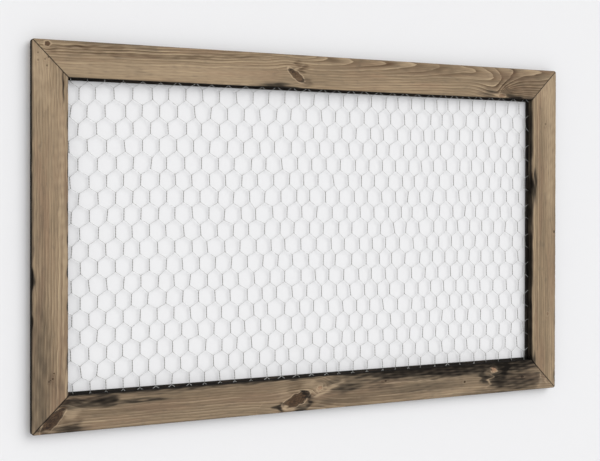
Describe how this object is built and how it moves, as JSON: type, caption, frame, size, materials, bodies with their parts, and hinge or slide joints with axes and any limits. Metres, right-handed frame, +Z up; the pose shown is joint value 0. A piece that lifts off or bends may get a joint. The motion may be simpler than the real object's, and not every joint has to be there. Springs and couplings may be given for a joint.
{
  "type": "wooden picture frame with wire netting",
  "caption": "Rectangular mitred wooden wall frame that holds a sheet of hexagonal wire netting, with back strips and swinging hanger rings.",
  "frame": {"origin": "on the wall, midway between the two hooks that carry the hanger rings", "axes": "+X along the frame's long side, +Y from the front of the frame into the wall, +Z up"},
  "size_m": [1, 0.0175, 0.6],
  "materials": {
    "stained_pine": "grey-brown stain, matt",
    "black_strip_wood": "black stain, matt",
    "galvanised_wire": "hot-dip zinc, semi-matt",
    "staple_steel": "bright zinc",
    "screw_steel": "yellow zinc",
    "nail_steel": "rolled steel",
    "hanger_steel": "nickel plated",
    "pad_rubber": "matt"
  },
  "bodies": {
    "frame": {"top_rail": "stained_pine", "bottom_rail": "stained_pine", "left_stile": "stained_pine", "right_stile": "stained_pine", "top_back_strip": "black_strip_wood", "bottom_back_strip": "black_strip_wood", "left_back_strip": "black_strip_wood", "right_back_strip": "black_strip_wood", "wire_netting": "galvanised_wire", "top_staple_1": "staple_steel", "top_staple_2": "staple_steel", "top_staple_3": "staple_steel", "top_staple_4": "staple_steel", "top_staple_5": "staple_steel", "top_staple_6": "staple_steel", "bottom_staple_1": "staple_steel", "bottom_staple_2": "staple_steel", "bottom_staple_3": "staple_steel", "bottom_staple_4": "staple_steel", "bottom_staple_5": "staple_steel", "bottom_staple_6": "staple_steel", "left_staple_1": "staple_steel", "left_staple_2": "staple_steel", "left_staple_3": "staple_steel", "left_staple_4": "staple_steel", "right_staple_1": "staple_steel", "right_staple_2": "staple_steel", "right_staple_3": "staple_steel", "right_staple_4": "staple_steel", "top_strip_screw_1": "screw_steel", "top_strip_screw_2": "screw_steel", "top_strip_screw_3": "screw_steel", "top_strip_screw_4": "screw_steel", "bottom_strip_screw_1": "screw_steel", "bottom_strip_screw_2": "screw_steel", "bottom_strip_screw_3": "screw_steel", "bottom_strip_screw_4": "screw_steel", "left_strip_screw_1": "screw_steel", "left_strip_screw_2": "screw_steel", "right_strip_screw_1": "screw_steel", "right_strip_screw_2": "screw_steel", "top_left_corner_nail_1": "nail_steel", "top_left_corner_nail_2": "nail_steel", "top_right_corner_nail_1": "nail_steel", "top_right_corner_nail_2": "nail_steel", "bottom_left_corner_nail_1": "nail_steel", "bottom_left_corner_nail_2": "nail_steel", "bottom_right_corner_nail_1": "nail_steel", "bottom_right_corner_nail_2": "nail_steel", "left_hanger_strap": "hanger_steel", "right_hanger_strap": "hanger_steel", "left_hanger_screw": "screw_steel", "right_hanger_screw": "screw_steel", "left_wall_pad": "pad_rubber", "right_wall_pad": "pad_rubber"},
    "left_ring": {"left_hanger_ring": "hanger_steel"},
    "right_ring": {"right_hanger_ring": "hanger_steel"}
  },
  "joints": [
    {"name": "left_ring_swing", "type": "hinge", "parent": "frame", "child": "left_ring", "pos_m": [-0.4865, -0.00305, -0.019], "axis": [1, 0, 0], "range_deg": [0, 180]},
    {"name": "right_ring_swing", "type": "hinge", "parent": "frame", "child": "right_ring", "pos_m": [0.4865, -0.00305, -0.019], "axis": [1, 0, 0], "range_deg": [0, 180]}
  ]
}
